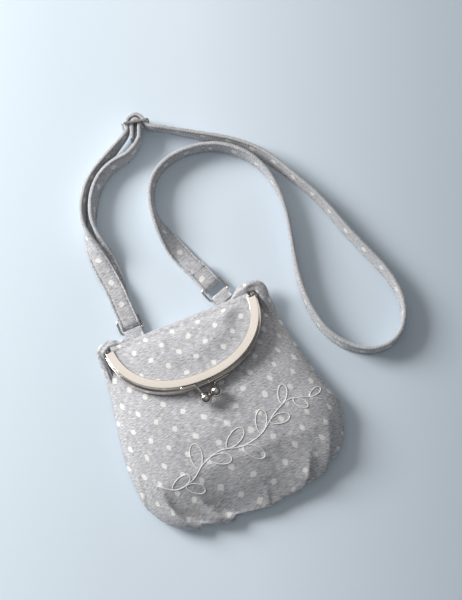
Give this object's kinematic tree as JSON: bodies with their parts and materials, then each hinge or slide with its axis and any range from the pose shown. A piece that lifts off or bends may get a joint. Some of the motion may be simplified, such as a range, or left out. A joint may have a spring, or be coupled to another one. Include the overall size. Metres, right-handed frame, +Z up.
{
  "type": "kiss-lock shoulder purse",
  "caption": "Small soft shoulder purse with a curved clasp frame folded over its front, lying on its back with its strap in loose loops.",
  "frame": {"origin": "middle of the frame's hinge line in X, on the flat back panel, at the level of the surface the purse lies on", "axes": "+X along the hinge line, +Y from the pouch towards the strap, +Z up out of the front"},
  "size_m": [0.2368, 0.3132, 0.0356],
  "materials": {
    "jersey": "matte knitted cotton, grey melange with off-white dots",
    "lining": "plain woven cotton",
    "nickel": "polished nickel plate",
    "paper_cord": "twisted kraft paper"
  },
  "bodies": {
    "pouch": {"back_panel": "jersey", "front_panel": "jersey", "lining_back": "lining", "lining_front": "lining", "fold_band": "jersey", "left_tab": "jersey", "right_tab": "jersey", "strap_run": "jersey", "strap_outer": "jersey", "strap_inner": "jersey"},
    "lower_half": {"lower_frame": "nickel", "lower_flap": "jersey", "lower_flap_lining": "lining", "lower_channel_cord": "paper_cord", "left_rivet": "nickel", "right_rivet": "nickel", "lower_clasp_plate": "nickel"},
    "upper_half": {"upper_frame": "nickel", "upper_flap": "jersey", "upper_flap_lining": "lining", "upper_channel_cord": "paper_cord", "upper_clasp_plate": "nickel"},
    "upper_catch": {"upper_clasp_arm": "nickel", "upper_clasp_ball": "nickel"},
    "lower_catch": {"lower_clasp_arm": "nickel", "lower_clasp_ball": "nickel"},
    "left_ring_body": {"left_ring": "nickel", "left_strap_turn": "jersey"},
    "right_ring_body": {"right_ring": "nickel", "right_strap_turn": "jersey"},
    "adjuster": {"adjuster_frame": "nickel", "adjuster_bar": "nickel", "adjuster_loop": "jersey"}
  },
  "joints": [
    {"name": "flap_fold", "type": "hinge", "parent": "pouch", "child": "lower_half", "pos_m": [0, 0.073, 0.0122], "axis": [-1, 0, 0], "range_deg": [0, 72], "deforming": ["fold_band"]},
    {"name": "frame_opening", "type": "hinge", "parent": "lower_half", "child": "upper_half", "pos_m": [0, 0.073, 0.0122], "axis": [-1, 0, 0], "range_deg": [0, 60]},
    {"name": "upper_catch_flex", "type": "hinge", "parent": "upper_half", "child": "upper_catch", "pos_m": [-0.0066, 0.02198, 0.03243], "axis": [0, -0.3173, -0.9483], "range_deg": [0, 6], "stiffness_Nm_per_rad": 0.2},
    {"name": "lower_catch_flex", "type": "hinge", "parent": "lower_half", "child": "lower_catch", "pos_m": [0.0066, 0.01938, 0.02718], "axis": [0, 0.3173, 0.9483], "range_deg": [0, 6], "stiffness_Nm_per_rad": 0.2},
    {"name": "left_ring_swing", "type": "hinge", "parent": "pouch", "child": "left_ring_body", "pos_m": [-0.0342, 0.0822, 0.0044], "axis": [0.9994, 0.0349, 0], "range_deg": [0, 20]},
    {"name": "right_ring_swing", "type": "hinge", "parent": "pouch", "child": "right_ring_body", "pos_m": [0.0362, 0.0834, 0.0044], "axis": [0.9397, 0.342, 0], "range_deg": [0, 20]},
    {"name": "adjuster_slide", "type": "slide", "parent": "pouch", "child": "adjuster", "axis": [-0.87, -0.493, 0], "range_m": [0, 0.006], "deforming": ["strap_run", "strap_outer", "strap_inner"]}
  ],
  "couplings": [
    {"joint": "lower_catch_flex", "follows": "upper_catch_flex", "ratio": 1}
  ]
}
